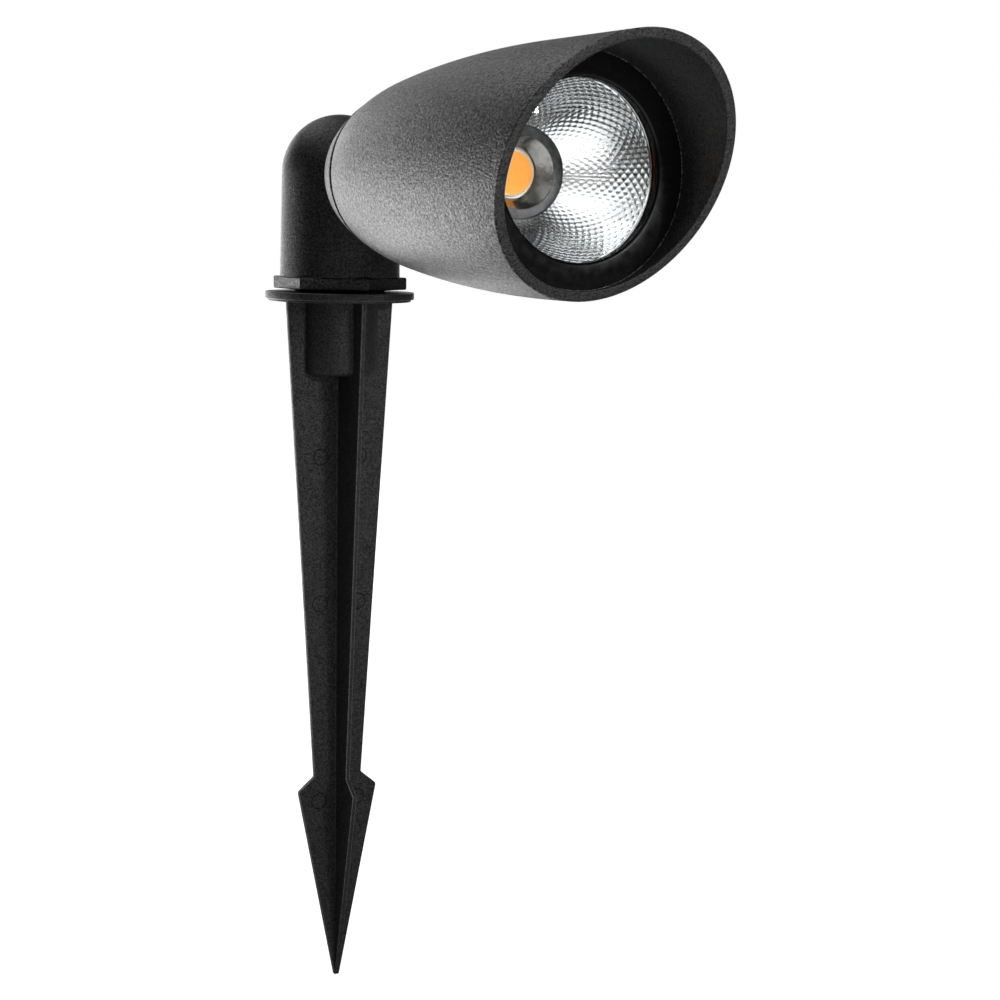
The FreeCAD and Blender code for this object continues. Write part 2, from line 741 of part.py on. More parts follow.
def make_spreader_screws():
    screws = [on_circle(screw(f"spreader_screw_{number}", "1.5", "2.4", "1.8", "spreader_front",
                              "ledge_back + 0.5", ("0", "0")), number, 3, "spreader_screw_circle")
              for number in range(3)]
    return place(group("spreader_screws", *screws), "forward", HEAD_AXIS)


def make_holder_screws():
    screws = [screw(f"holder_screw_{side_name}", "1.25", "2.3", "1.6", "holder_base_front",
                    "ledge_front + sleeve_flange + 0.5", (across, "0"))
              for side_name, across in (("right", "holder_screw_offset"), ("left", "-holder_screw_offset"))]
    return place(group("holder_screws", *screws), "forward", HEAD_AXIS)


def make_led_parts():
    pad = head_box("pad_sheet", "cob_side", "cob_side", "pad_thickness", "0", "-cob_side / 2",
                   "spreader_front")
    board = head_box("carrier_plate", "cob_side", "cob_side", "cob_front - spreader_front - pad_thickness",
                     "0", "-cob_side / 2", "spreader_front + pad_thickness")
    phosphor = cylinder("phosphor_disc", "phosphor_radius", "phosphor_height", at=("0", "0", "cob_front"))
    dam = ring("cob_dam", "dam_radius", "phosphor_radius", "dam_height", at=("0", "0", "cob_front"))
    node(place_in_head("thermal_pad", pad), "thermal_pad")
    node(place_in_head("cob_board", board), "cob_board")
    node(place_in_head("cob_phosphor", phosphor), "cob_phosphor")
    node(place(dam, "forward", HEAD_AXIS), "cob_dam")


def make_cob_holder():
    """Clamp ring over the LED carrier, with a conical mouth."""
    blank = revolved("holder_blank", [
        ("holder_throat_radius", "cob_front"),
        ("holder_recess_radius", "cob_front"),
        ("holder_recess_radius", "spreader_front"),
        ("holder_base_radius", "spreader_front"),
        ("holder_base_radius", "holder_base_front"),
        ("holder_radius", "holder_base_front"),
        ("holder_radius", "holder_front"),
        ("holder_mouth_radius", "holder_front"),
        ("holder_throat_radius", "cob_front + 1"),
    ])
    holes = [cylinder(f"holder_hole_{number}", "1.25", "8", at=(across, "0", "spreader_front - 1"))
             for number, across in enumerate(("holder_screw_offset", "-holder_screw_offset"))]
    return place(cut("cob_holder", blank, *holes), "forward", HEAD_AXIS)


def make_reflector():
    """Bright cup from the LED to the lens, with a flat rim."""
    cup = revolved("reflector", [
        ("reflector_neck", "reflector_back"),
        ("reflector_neck + reflector_wall", "reflector_back", "reflector_arc", "centre left"),
        ("reflector_mouth + reflector_wall", "reflector_front - reflector_wall"),
        ("reflector_rim_radius", "reflector_front - reflector_wall"),
        ("reflector_rim_radius", "reflector_front"),
        ("reflector_mouth", "reflector_front", "reflector_arc", "centre right"),
    ])
    return place(cup, "forward", HEAD_AXIS)


def make_lens_glass():
    lens = cylinder("lens_disc", "lens_radius", "lens_thickness", at=("0", "0", "lens_back"))
    return place_in_head("lens_glass", lens)


def make_lens_gasket():
    gasket = ring("lens_gasket", "reflector_rim_radius", "lens_radius", "bezel_back - reflector_front",
                  at=("0", "0", "reflector_front"))
    return place(gasket, "forward", HEAD_AXIS)


def make_bezel_ring():
    bezel = revolved("bezel_ring", [
        ("bezel_bore", "bezel_back"),
        ("housing_radius - housing_wall", "bezel_back"),
        ("housing_radius - housing_wall", "bezel_front - bezel_chamfer"),
        ("housing_radius - housing_wall - bezel_chamfer", "bezel_front"),
        ("bezel_bore + bezel_chamfer", "bezel_front"),
        ("bezel_bore", "bezel_front - bezel_chamfer"),
    ])
    return place(bezel, "forward", HEAD_AXIS)


# ---------------------------------------------------------------- assembly and files

def make_lamp():
    node(make_ground_stake(), "ground_stake")

    node(make_threaded_nipple(), "threaded_nipple")
    node(make_flange_seal(), "flange_seal")
    node(make_lock_nut(), "lock_nut")
    node(make_knuckle_post(), "knuckle_post")
    node(make_gland_body(), "gland_body")
    node(make_gland_seal(), "gland_seal")
    node(make_friction_washer(), "friction_washer")
    node(make_pivot_insert(), "pivot_insert")
    node(make_pivot_spring_washer(), "pivot_spring_washer")
    node(make_pivot_screw(), "pivot_screw")

    node(make_knuckle_arm(), "knuckle_arm")
    node(make_rear_cap(), "rear_cap")
    node(make_neck_seal(), "neck_seal")
    node(make_neck_nut(), "neck_nut")
    node(make_head_housing(), "head_housing")
    node(make_driver_sleeve(), "driver_sleeve")
    make_driver_parts()
    node(make_lead("lead_positive", "lead_spacing"), "lead_positive")
    node(make_lead("lead_negative", "-lead_spacing"), "lead_negative")
    node(make_heat_spreader(), "heat_spreader")
    node(make_spreader_screws(), "spreader_screws")
    make_led_parts()
    node(make_cob_holder(), "cob_holder")
    node(make_holder_screws(), "holder_screws")
    node(make_reflector(), "reflector")
    node(make_lens_glass(), "lens_glass")
    node(make_lens_gasket(), "lens_gasket")
    node(make_bezel_ring(), "bezel_ring")


def check_document():
    names = [piece.Label for piece in nodes]
    if any(name[-3:].isdigit() for name in names):
        raise RuntimeError(f"a name was taken twice: {names}")
    for piece in doc.Objects:
        if "Invalid" in piece.State or "Error" in piece.State:
            raise RuntimeError(f"{piece.Label}: {piece.State}")
    for piece in nodes:
        if piece.Shape.isNull() or not piece.Shape.isValid() or not piece.Shape.Solids:
            raise RuntimeError(f"{piece.Label} has no valid solid")


def write_parts():
    os.makedirs("parts", exist_ok=True)
    for piece in nodes:
        piece.Shape.exportStep(f"parts/{piece.Label}.step")
        print(f"{piece.Label}: {len(piece.Shape.Solids)} solid, {piece.Shape.Volume:.1f} mm3")


make_lamp()
doc.recompute()
check_document()
write_parts()
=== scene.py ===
import json
import math

import bmesh
import bpy
from mathutils import Matrix, Vector


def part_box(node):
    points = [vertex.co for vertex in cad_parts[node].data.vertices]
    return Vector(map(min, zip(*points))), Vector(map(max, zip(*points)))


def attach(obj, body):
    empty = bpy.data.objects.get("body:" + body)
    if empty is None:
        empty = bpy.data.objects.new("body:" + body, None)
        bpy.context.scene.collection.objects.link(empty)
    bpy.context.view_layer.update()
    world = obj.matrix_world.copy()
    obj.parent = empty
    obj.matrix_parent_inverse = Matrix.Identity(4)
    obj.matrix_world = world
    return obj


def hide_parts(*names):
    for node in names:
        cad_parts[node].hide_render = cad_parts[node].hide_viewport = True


# Garden spotlight on a ground stake: the looks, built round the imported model. Metres, +Z up, head to -Y.
# In the head's own frame a point is (across, up, along), and along grows from the stake towards the beam.

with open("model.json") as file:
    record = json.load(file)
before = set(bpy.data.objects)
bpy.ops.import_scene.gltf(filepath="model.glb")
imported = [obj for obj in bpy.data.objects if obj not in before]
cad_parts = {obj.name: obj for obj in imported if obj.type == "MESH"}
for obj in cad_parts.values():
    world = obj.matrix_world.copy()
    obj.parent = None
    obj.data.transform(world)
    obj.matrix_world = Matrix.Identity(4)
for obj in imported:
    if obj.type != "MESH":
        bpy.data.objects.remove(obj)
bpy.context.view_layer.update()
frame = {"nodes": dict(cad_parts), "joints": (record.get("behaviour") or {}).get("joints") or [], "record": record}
scene = bpy.context.scene
MM = 0.001


def low(node, axis):
    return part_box(node)[0][axis]


def high(node, axis):
    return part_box(node)[1][axis]


HEAD_AXIS = (low("bezel_ring", 2) + high("bezel_ring", 2)) / 2
PIVOT = frame["joints"][1]["pos_m"][2]
IN_HEAD = Matrix(((1, 0, 0, 0), (0, 0, -1, 0), (0, 1, 0, HEAD_AXIS), (0, 0, 0, 1)))
ON_PIVOT = Matrix(((0, 0, 1, 0), (0, 1, 0, 0), (-1, 0, 0, PIVOT), (0, 0, 0, 1)))
UPRIGHT = Matrix.Identity(4)


# ---------------------------------------------------------------- camera, light and floor

def add_camera():
    """A long lens a little left of and above the head, rolled by one degree."""
    heading, tilt, roll = math.radians(-29.297), math.radians(7.783), math.radians(0.959)
    back = Vector((math.sin(heading) * math.cos(tilt), -math.cos(heading) * math.cos(tilt),
                   math.sin(tilt)))
    level = Vector((math.cos(heading), math.sin(heading), 0))
    upward = back.cross(level)
    right = level * math.cos(roll) + upward * math.sin(roll)
    above = upward * math.cos(roll) - level * math.sin(roll)
    data = bpy.data.cameras.new("camera")
    data.lens = 73.305
    data.sensor_width = 36
    data.clip_start, data.clip_end = 0.05, 60
    camera = bpy.data.objects.new("camera", data)
    aim = Vector((0, 0, -0.05935))
    across, down, away = 0.056312, 0.010967, 0.711527
    place = aim + right * across - above * down + back * away
    turn = Matrix((right, above, back)).transposed().to_4x4()
    camera.matrix_world = Matrix.Translation(place) @ turn
    scene.collection.objects.link(camera)
    scene.camera = camera


def add_area(name, at, target, size, power):
    data = bpy.data.lights.new(name, "AREA")
    data.shape = "RECTANGLE"
    data.size, data.size_y = size
    data.energy = power
    light = bpy.data.objects.new(name, data)
    at, target = Vector(at), Vector(target)
    facing = (target - at).to_track_quat("-Z", "Y").to_matrix().to_4x4()
    light.matrix_world = Matrix.Translation(at) @ facing
    scene.collection.objects.link(light)


def add_room():
    """A dim, nearly neutral room that the camera sees as white."""
    world = bpy.data.worlds.new("studio")
    world.use_nodes = True
    nodes, links = world.node_tree.nodes, world.node_tree.links
    seen = nodes.new("ShaderNodeLightPath")
    room = nodes["Background"]
    room.inputs["Color"].default_value = (0.80, 0.82, 0.85, 1)
    room.inputs["Strength"].default_value = 0.018
    backdrop = nodes.new("ShaderNodeBackground")
    backdrop.inputs["Color"].default_value = (1, 1, 1, 1)
    backdrop.inputs["Strength"].default_value = 1.0
    mix = nodes.new("ShaderNodeMixShader")
    links.new(seen.outputs["Is Camera Ray"], mix.inputs["Fac"])
    links.new(room.outputs["Background"], mix.inputs[1])
    links.new(backdrop.outputs["Background"], mix.inputs[2])
    links.new(mix.outputs["Shader"], nodes["World Output"].inputs["Surface"])
    scene.world = world
    scene.view_settings.view_transform = "Standard"


def add_lights():
    """A soft overhead light, bright panels behind and beside the head, and two lamps in front."""
    sky = bpy.data.lights.new("overhead", "SUN")
    sky.energy = 1.2
    sky.angle = math.radians(70)
    overhead = bpy.data.objects.new("overhead", sky)
    overhead.rotation_euler = (math.radians(8), math.radians(-10), 0)
    scene.collection.objects.link(overhead)

    head, underside = (0, -0.08, 0), -0.238
    add_area("backdrop_middle", (0.79, 1.29, 0.22), head, (1.0, 0.8), 3.2)
    add_area("backdrop_left", (0.0, 1.31, 0.15), head, (0.6, 0.6), 4.4)
    add_area("high_behind_left", (-0.17, 0.90, 0.99), head, (0.8, 0.6), 3.0)
    add_area("low_strip_behind", (0.34, 0.85, -0.10), head, (0.8, 0.16), 0.4)
    add_area("low_strip_left", (-0.44, 0.74, -0.15), head, (0.5, 0.12), 2.8)
    add_area("floor_glow_behind", (0.03, 0.62, underside), (0.03, 0.62, 1), (0.38, 0.6), 6.4)
    add_area("floor_glow_front", (-0.05, -0.92, underside), (-0.05, -0.92, 1), (0.8, 1.05), 3.7)
    add_area("front", (-0.03, -1.15, 0.50), (0, -0.1, 0.03), (0.9, 0.9), 4.3)
    add_area("key", (0.40, -1.15, 0.27), (0, -0.05, -0.04), (0.12, 0.12), 3.0)


def add_floor():
    """Matt paper a little below the stake's point, which the camera sees lifted to white."""
    ground = low("ground_stake", 2) - 0.0006
    side = 30
    corners = [(-side, -side, ground), (side, -side, ground), (side, side, ground), (-side, side, ground)]
    mesh = bpy.data.meshes.new("floor")
    mesh.from_pydata(corners, [], [(0, 1, 2, 3)])
    floor = bpy.data.objects.new("floor", mesh)
    scene.collection.objects.link(floor)
    paper = bpy.data.materials.new("studio_paper")
    paper.use_nodes = True
    nodes, links = paper.node_tree.nodes, paper.node_tree.links
    shader = nodes["Principled BSDF"]
    shader.inputs["Base Color"].default_value = (0.42, 0.42, 0.42, 1)
    shader.inputs["Roughness"].default_value = 0.9
    shader.inputs["Specular IOR Level"].default_value = 0.1
    shader.inputs["Emission Color"].default_value = (1, 1, 1, 1)
    seen = nodes.new("ShaderNodeLightPath")
    lift = nodes.new("ShaderNodeMath")
    lift.operation = "MULTIPLY"
    lift.inputs[1].default_value = 0.85
    links.new(seen.outputs["Is Camera Ray"], lift.inputs[0])
    links.new(lift.outputs[0], shader.inputs["Emission Strength"])
    mesh.materials.append(paper)


# ---------------------------------------------------------------- materials

class Look:
    """A Principled material whose colour, roughness and bump come from procedural texture."""

    def __init__(self, name, roughness, metallic=0.0, specular=0.5):
        self.material = bpy.data.materials.new(name)
        self.material.use_nodes = True
        self.nodes = self.material.node_tree.nodes
        self.links = self.material.node_tree.links
        self.shader = self.nodes["Principled BSDF"]
        self.shader.inputs["Roughness"].default_value = roughness
        self.shader.inputs["Metallic"].default_value = metallic
        self.shader.inputs["Specular IOR Level"].default_value = specular
        self.place = self.nodes.new("ShaderNodeTexCoord").outputs["Object"]
        self.normal = None

    def stretched(self, scale):
        """The object's coordinates, scaled apart along its three axes."""
        mapping = self.nodes.new("ShaderNodeMapping")
        mapping.inputs["Scale"].default_value = scale
        self.links.new(self.place, mapping.inputs["Vector"])
        return mapping.outputs["Vector"]

    def noise(self, grain, detail=2.0, rough=0.5, stretch=None):
        """Noise whose grain is about that many millimetres."""
        noise = self.nodes.new("ShaderNodeTexNoise")
        noise.inputs["Scale"].default_value = 1000 / grain
        noise.inputs["Detail"].default_value = detail
        noise.inputs["Roughness"].default_value = rough
        self.links.new(self.stretched(stretch) if stretch else self.place, noise.inputs["Vector"])
        return noise.outputs["Fac"]

    def ramp(self, value, stops):
        """Maps a value to colours or greys; a stop is (place, colour)."""
        ramp = self.nodes.new("ShaderNodeValToRGB")
        while len(ramp.color_ramp.elements) < len(stops):
            ramp.color_ramp.elements.new(0.5)
        for element, (at, colour) in zip(ramp.color_ramp.elements, stops):
            element.position = at
            colour = (colour,) * 3 if isinstance(colour, float) else colour
            element.color = (*colour, 1)
        self.links.new(value, ramp.inputs["Fac"])
        return ramp.outputs["Color"]

    def colour(self, value, stops):
        self.links.new(self.ramp(value, stops), self.shader.inputs["Base Color"])
        return self

    def multiplied_colour(self, first, second):
        mix = self.nodes.new("ShaderNodeMix")
        mix.data_type = "RGBA"
        mix.blend_type = "MULTIPLY"
        mix.inputs[0].default_value = 1.0
        self.links.new(first, mix.inputs[6])
        self.links.new(second, mix.inputs[7])
        self.links.new(mix.outputs[2], self.shader.inputs["Base Color"])
        return self

    def roughness(self, value, least, most):
        self.links.new(self.ramp(value, [(0.3, float(least)), (0.7, float(most))]),
                       self.shader.inputs["Roughness"])
        return self

    def gloss(self, value, specular):
        """Makes the pits duller than the grains between them."""
        self.links.new(self.ramp(value, [(0.36, specular * 0.35), (0.64, specular * 1.65)]),
                       self.shader.inputs["Specular IOR Level"])
        return self

    def bump(self, value, height):
        """Adds relief of that many millimetres on top of any that is already there."""
        bump = self.nodes.new("ShaderNodeBump")
        bump.inputs["Strength"].default_value = 1.0
        bump.inputs["Distance"].default_value = height * MM
        self.links.new(value, bump.inputs["Height"])
        if self.normal:
            self.links.new(self.normal, bump.inputs["Normal"])
        self.normal = bump.outputs["Normal"]
        self.links.new(self.normal, self.shader.inputs["Normal"])
        return self


def powder_coat(name, dark, mid, light, grain, relief, roughness, specular=0.5, stretch=None):
    """Baked powder coat: fine grain whose pits are dull, a few lighter flecks and faint cloudiness."""
    look = Look(name, roughness, specular=specular)
    grains = look.noise(grain, detail=2, rough=0.6, stretch=stretch)
    look.gloss(grains, specular)
    flecks = look.ramp(grains, [(0.30, dark), (0.52, mid), (0.72, light)])
    clouds = look.ramp(look.noise(22, detail=2), [(0.3, 0.88), (0.7, 1.0)])
    look.multiplied_colour(flecks, clouds)
    look.roughness(look.noise(grain * 1.7), roughness - 0.07, roughness + 0.07)
    look.bump(grains, relief)
    look.bump(look.noise(grain * 5, detail=1, stretch=stretch), relief * 0.25)
    return look.material


def add_coatings(looks):
    looks["coated_metal"] = powder_coat("charcoal_powder_coat", (0.006, 0.006, 0.0064),
                                        (0.018, 0.018, 0.0192), (0.078, 0.078, 0.082), 0.64, 0.30, 0.44,
                                        stretch=(1, 0.6, 1))
    # A darker copy of the charcoal coat for the hood's lip and inside: painted shade in the recess.
    looks["coated_inside"] = powder_coat("inside_coat_painted_shade", (0.007, 0.007, 0.0074), (0.014, 0.014, 0.0148),
                                         (0.026, 0.026, 0.027), 0.5, 0.10, 0.46, 0.40)
    looks["coated_elbow"] = powder_coat("black_powder_coat", (0.003, 0.003, 0.0035), (0.006, 0.006, 0.0065),
                                        (0.013, 0.013, 0.014), 0.56, 0.24, 0.44, 0.35)
    looks["nut_metal"] = powder_coat("black_nut_coat", (0.002, 0.002, 0.0023), (0.004, 0.004, 0.0043),
                                     (0.010, 0.010, 0.011), 0.6, 0.26, 0.42, 0.40)


def add_stake_looks(looks):
    look = Look("moulded_black_plastic", 0.5, specular=0.38)
    grains = look.noise(0.48, detail=2, rough=0.6)
    look.gloss(grains, 0.36)
    specks = look.ramp(grains, [(0.30, (0.007, 0.007, 0.0075)), (0.70, (0.022, 0.022, 0.023))])
    look.multiplied_colour(specks, look.ramp(look.noise(14), [(0.3, 0.8), (0.7, 1.0)]))
    look.roughness(look.noise(5), 0.42, 0.58).bump(grains, 0.16)
    looks["stake_plastic"] = look.material

    # Near-black rings for the ejector marks: painted shadow of the grooves round them.
    look = Look("ejector_groove_painted_shadow", 0.7, specular=0.12)
    look.colour(look.noise(0.8, detail=3), [(0.3, (0.0015, 0.0015, 0.0016)), (0.7, (0.004, 0.004, 0.0042))])
    look.roughness(look.noise(2), 0.6, 0.8).bump(look.noise(0.5), 0.03)
    looks["mark_rim"] = look.material

    # Lighter plastic for strips along the stake's rounded edges: painted highlight.
    look = Look("stake_edge_painted_highlight", 0.4, specular=0.55)
    look.colour(look.noise(0.9, detail=3), [(0.3, (0.05, 0.05, 0.051)), (0.7, (0.15, 0.15, 0.153))])
    look.roughness(look.noise(2), 0.32, 0.5).bump(look.noise(0.5), 0.05)
    looks["plastic_edge"] = look.material


def add_bezel_looks(looks):
    look = Look("gloss_black_anodised", 0.2, specular=0.16)
    look.colour(look.noise(6, stretch=(1, 1, 4)),
                [(0.3, (0.002, 0.002, 0.0022)), (0.7, (0.004, 0.004, 0.0044))])
    look.roughness(look.noise(3, detail=3), 0.16, 0.30).bump(look.noise(0.5), 0.006)
    looks["bezel_black"] = look.material

    # Light speckled black for the thin band on the bezel's outer edge: painted highlight.
    look = Look("bezel_edge_painted_highlight", 0.4, specular=0.4)
    look.colour(look.noise(0.7, detail=3), [(0.44, (0.006, 0.006, 0.006)), (0.60, (0.16, 0.16, 0.155))])
    look.roughness(look.noise(0.9), 0.3, 0.5).bump(look.noise(0.5), 0.02)
    looks["worn_edge"] = look.material


def add_fastener_looks(looks):
    look = Look("zinc_plated_steel", 0.3, metallic=1.0)
    look.colour(look.noise(2.5, detail=3), [(0.3, (0.50, 0.50, 0.49)), (0.7, (0.68, 0.68, 0.66))])
    look.roughness(look.noise(0.8, stretch=(1, 6, 6)), 0.22, 0.42).bump(look.noise(0.25, detail=3), 0.012)
    looks["zinc_steel"] = look.material

    look = Look("turned_brass", 0.28, metallic=1.0)
    look.colour(look.noise(2), [(0.3, (0.66, 0.48, 0.20)), (0.7, (0.82, 0.64, 0.32))])
    look.roughness(look.noise(0.6, stretch=(8, 1, 1)), 0.2, 0.4).bump(look.noise(0.3), 0.01)
    looks["insert_brass"] = look.material


def add_seal_looks(looks):
    look = Look("black_seal_rubber", 0.8, specular=0.25)
    look.colour(look.noise(1.2, detail=4), [(0.3, (0.010, 0.010, 0.010)), (0.7, (0.022, 0.022, 0.022))])
    look.roughness(look.noise(0.8), 0.7, 0.9).bump(look.noise(0.2, detail=3), 0.02)
    looks["seal_rubber"] = look.material

    look = Look("natural_nylon", 0.5, specular=0.4)
    look.colour(look.noise(3), [(0.3, (0.66, 0.63, 0.54)), (0.7, (0.78, 0.76, 0.68))])
    look.roughness(look.noise(1), 0.4, 0.6).bump(look.noise(0.3), 0.02)
    looks["friction_nylon"] = look.material

    look = Look("black_nylon", 0.45, specular=0.4)
    look.colour(look.noise(0.6, detail=3), [(0.3, (0.008, 0.008, 0.009)), (0.7, (0.020, 0.020, 0.022))])
    look.roughness(look.noise(1.5), 0.36, 0.52).bump(look.noise(0.35), 0.03)
    looks["gland_nylon"] = look.material


def add_bright_metal_looks(looks):
    look = Look("machined_aluminium", 0.32, metallic=1.0)
    look.colour(look.noise(4, detail=3), [(0.3, (0.60, 0.61, 0.63)), (0.7, (0.74, 0.75, 0.77))])
    look.roughness(look.noise(1.0, stretch=(1, 1, 5)), 0.26, 0.42).bump(look.noise(0.4, detail=2), 0.01)
    looks["bare_aluminium"] = look.material

    look = Look("vapour_plated_reflector", 0.05, metallic=1.0)
    look.colour(look.noise(2, detail=2), [(0.3, (0.86, 0.87, 0.88)), (0.7, (0.93, 0.935, 0.94))])
    look.roughness(look.noise(0.8, detail=3), 0.03, 0.09).bump(look.noise(0.6), 0.004)
    looks["reflector_bright"] = look.material

    look = Look("holder_ring_metal", 0.38, metallic=0.85)
    look.colour(look.noise(1.6, detail=4, rough=0.6),
                [(0.3, (0.05, 0.05, 0.052)), (0.7, (0.11, 0.11, 0.114))])
    look.roughness(look.noise(1.2, stretch=(1, 1, 3)), 0.3, 0.48).bump(look.noise(0.35, detail=3), 0.02)
    looks["holder_metal"] = look.material

    look = Look("holder_cone_metal", 0.12, metallic=1.0)
    look.colour(look.noise(1.5, detail=2), [(0.3, (0.24, 0.235, 0.22)), (0.7, (0.32, 0.31, 0.295))])
    look.roughness(look.noise(1.0, detail=2), 0.08, 0.18).bump(look.noise(1.4), 0.006)
    looks["holder_cone"] = look.material


def add_led_looks(looks):
    look = Look("led_phosphor_painted_glow", 0.55, specular=0.15)
    look.colour(look.noise(0.5, detail=3), [(0.3, (0.90, 0.33, 0.045)), (0.7, (0.96, 0.39, 0.07))])
    look.roughness(look.noise(0.8), 0.45, 0.6).bump(look.noise(0.35), 0.012)
    # A weak steady emission: painted glow on the unlit phosphor.
    look.shader.inputs["Emission Color"].default_value = (1.0, 0.40, 0.08, 1)
    look.shader.inputs["Emission Strength"].default_value = 0.30
    looks["phosphor_orange"] = look.material

    look = Look("silicone_dam", 0.35, specular=0.5)
    look.colour(look.noise(0.7, detail=2), [(0.3, (0.80, 0.66, 0.44)), (0.7, (0.90, 0.80, 0.60))])
    look.roughness(look.noise(1), 0.28, 0.42).bump(look.noise(0.5), 0.012)
    looks["dam_white"] = look.material


def add_driver_looks(looks):
    """The parts inside the head; each has a colour, a roughness and a grain in millimetres."""
    plain = {
        "thermal_grey": ("thermal_pad_grey", (0.46, 0.48, 0.50), 0.75, 0.7),
        "board_green": ("solder_mask_green", (0.02, 0.15, 0.05), 0.35, 1.5),
        "sleeve_white": ("sleeve_plastic_white", (0.70, 0.70, 0.67), 0.5, 0.8),
        "transformer_tape": ("transformer_tape_yellow", (0.68, 0.48, 0.07), 0.35, 1.2),
        "capacitor_black": ("capacitor_sleeve_black", (0.02, 0.02, 0.024), 0.25, 1.0),
        "winding_copper": ("winding_copper", (0.62, 0.26, 0.10), 0.3, 0.3),
        "component_black": ("component_epoxy_black", (0.015, 0.015, 0.015), 0.5, 0.5),
        "connector_white": ("connector_nylon_white", (0.76, 0.76, 0.72), 0.45, 0.8),
        "wire_red": ("wire_jacket_red", (0.45, 0.02, 0.02), 0.4, 0.5),
        "wire_black": ("wire_jacket_black", (0.015, 0.015, 0.015), 0.4, 0.5),
    }
    for slot, (name, colour, roughness, grain) in plain.items():
        look = Look(name, roughness, metallic=0.8 if slot == "winding_copper" else 0.0)
        darker = tuple(c * 0.8 for c in colour)
        lighter = tuple(min(1.0, c * 1.15) for c in colour)
        look.colour(look.noise(grain, detail=3), [(0.3, darker), (0.7, lighter)])
        look.roughness(look.noise(grain * 2), roughness - 0.06, roughness + 0.08)
        look.bump(look.noise(grain), 0.015)
        looks[slot] = look.material


def add_lens_look(looks):
    look = Look("clear_lens_glass", 0.0, specular=0.5)
    look.colour(look.noise(30), [(0.3, (0.97, 0.985, 0.98)), (0.7, (0.985, 0.995, 0.99))])
    look.roughness(look.noise(9, detail=2), 0.0, 0.012)
    look.shader.inputs["IOR"].default_value = 1.45
    look.shader.inputs["Transmission Weight"].default_value = 1.0
    looks["lens_clear"] = look.material


def make_looks():
    looks = {}
    for add in (add_coatings, add_stake_looks, add_bezel_looks, add_fastener_looks, add_seal_looks,
                add_bright_metal_looks, add_led_looks, add_driver_looks, add_lens_look):
        add(looks)
    return looks


# ---------------------------------------------------------------- geometry helpers

def rounded(outline, closed=True, steps=4):
    """Replaces each corner (x, y, radius) of an outline by an arc, and leaves corners (x, y) as they are."""
    points = []
    count = len(outline)
    for index, corner in enumerate(outline):
        here = Vector(corner[:2])
        if len(corner) < 3 or (not closed and index in (0, count - 1)):
            points.append(here)
            continue
        before = (Vector(outline[index - 1][:2]) - here).normalized()
        after = (Vector(outline[(index + 1) % count][:2]) - here).normalized()
        half = before.angle(after) / 2
        reach = corner[2] / math.tan(half)
        centre = here + (before + after).normalized() * (corner[2] / math.sin(half))
        start, end = here + before * reach - centre, here + after * reach - centre
        turn = start.angle_signed(end)
        for step in range(steps + 1):
            spot = start.copy()
            spot.rotate(Matrix.Rotation(-turn * step / steps, 2))
            points.append(centre + spot)
    return points


def new_piece(name, verts, faces, body, look, replaces=(), sharp=32, flats=False):
    """A mesh piece that rides a body. flats keeps the shading of large flat faces even up to their edges."""
    mesh = bpy.data.meshes.new(name)
    mesh.from_pydata([tuple(v) for v in verts], [], faces)
    piece = bpy.data.objects.new(name, mesh)
    scene.collection.objects.link(piece)
    mesh.materials.append(look)
    tidy_normals(mesh, sharp)
    if flats:
        piece.modifiers.new("even_flats", "WEIGHTED_NORMAL").keep_sharp = True
    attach(piece, body)
    if replaces:
        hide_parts(*replaces)
    return piece


def tidy_normals(mesh, sharp):
    shape = bmesh.new()
    shape.from_mesh(mesh)
    bmesh.ops.remove_doubles(shape, verts=shape.verts, dist=1e-7)
    bmesh.ops.recalc_face_normals(shape, faces=shape.faces)
    shape.to_mesh(mesh)
    shape.free()
    mesh.shade_smooth()
    mesh.set_sharp_from_angle(angle=math.radians(sharp))


def turned(outline, placing, turns=128, closed=True, slant=None):
    """Vertices and faces of an outline of (radius, along) points, in millimetres, turned about the along
    axis. slant gives how far each point moves along the axis per unit of height above it."""
    verts, faces = [], []
    count = len(outline)
    for step in range(turns):
        angle = 2 * math.pi * step / turns
        for index, point in enumerate(outline):
            x, y = point[0] * math.cos(angle), point[0] * math.sin(angle)
            along = point[1] + (slant[index] * y if slant else 0)
            verts.append(placing @ Vector((x * MM, y * MM, along * MM)))
    last = count if closed else count - 1
    for step in range(turns):
        other = (step + 1) % turns
        for index in range(last):
            following = (index + 1) % count
            corners = (step * count + index, other * count + index, other * count + following,
                       step * count + following)
            faces.append(corners)
    return verts, faces


def lofted(loops, placing=UPRIGHT, closed=False, caps=True):
    """Vertices and faces of a skin over loops of equally many (x, y, z) points, in millimetres."""
    count = len(loops[0])
    verts = [placing @ Vector(tuple(MM * c for c in point)) for loop in loops for point in loop]
    faces = []
    for row in range(len(loops) if closed else len(loops) - 1):
        first, second = row * count, (row + 1) % len(loops) * count
        for index in range(count):
            following = (index + 1) % count
            faces.append((first + index, first + following, second + following, second + index))
    if caps and not closed:
        faces.append(tuple(reversed(range(count))))
        faces.append(tuple(range((len(loops) - 1) * count, len(loops) * count)))
    return verts, faces


def sheet(rows, placing=UPRIGHT):
    """Vertices and faces of an open skin over rows of equally many (x, y, z) points, in millimetres."""
    width = len(rows[0])
    verts = [placing @ Vector(tuple(MM * c for c in point)) for row in rows for point in row]
    faces = [(width * row + i, width * row + i + 1, width * (row + 1) + i + 1, width * (row + 1) + i)
             for row in range(len(rows) - 1) for i in range(width - 1)]
    return verts, faces


def joined(*skins):
    """Several (vertices, faces) as one."""
    verts, faces = [], []
    for more_verts, more_faces in skins:
        faces += [tuple(index + len(verts) for index in face) for face in more_faces]
        verts += more_verts
    return verts, faces


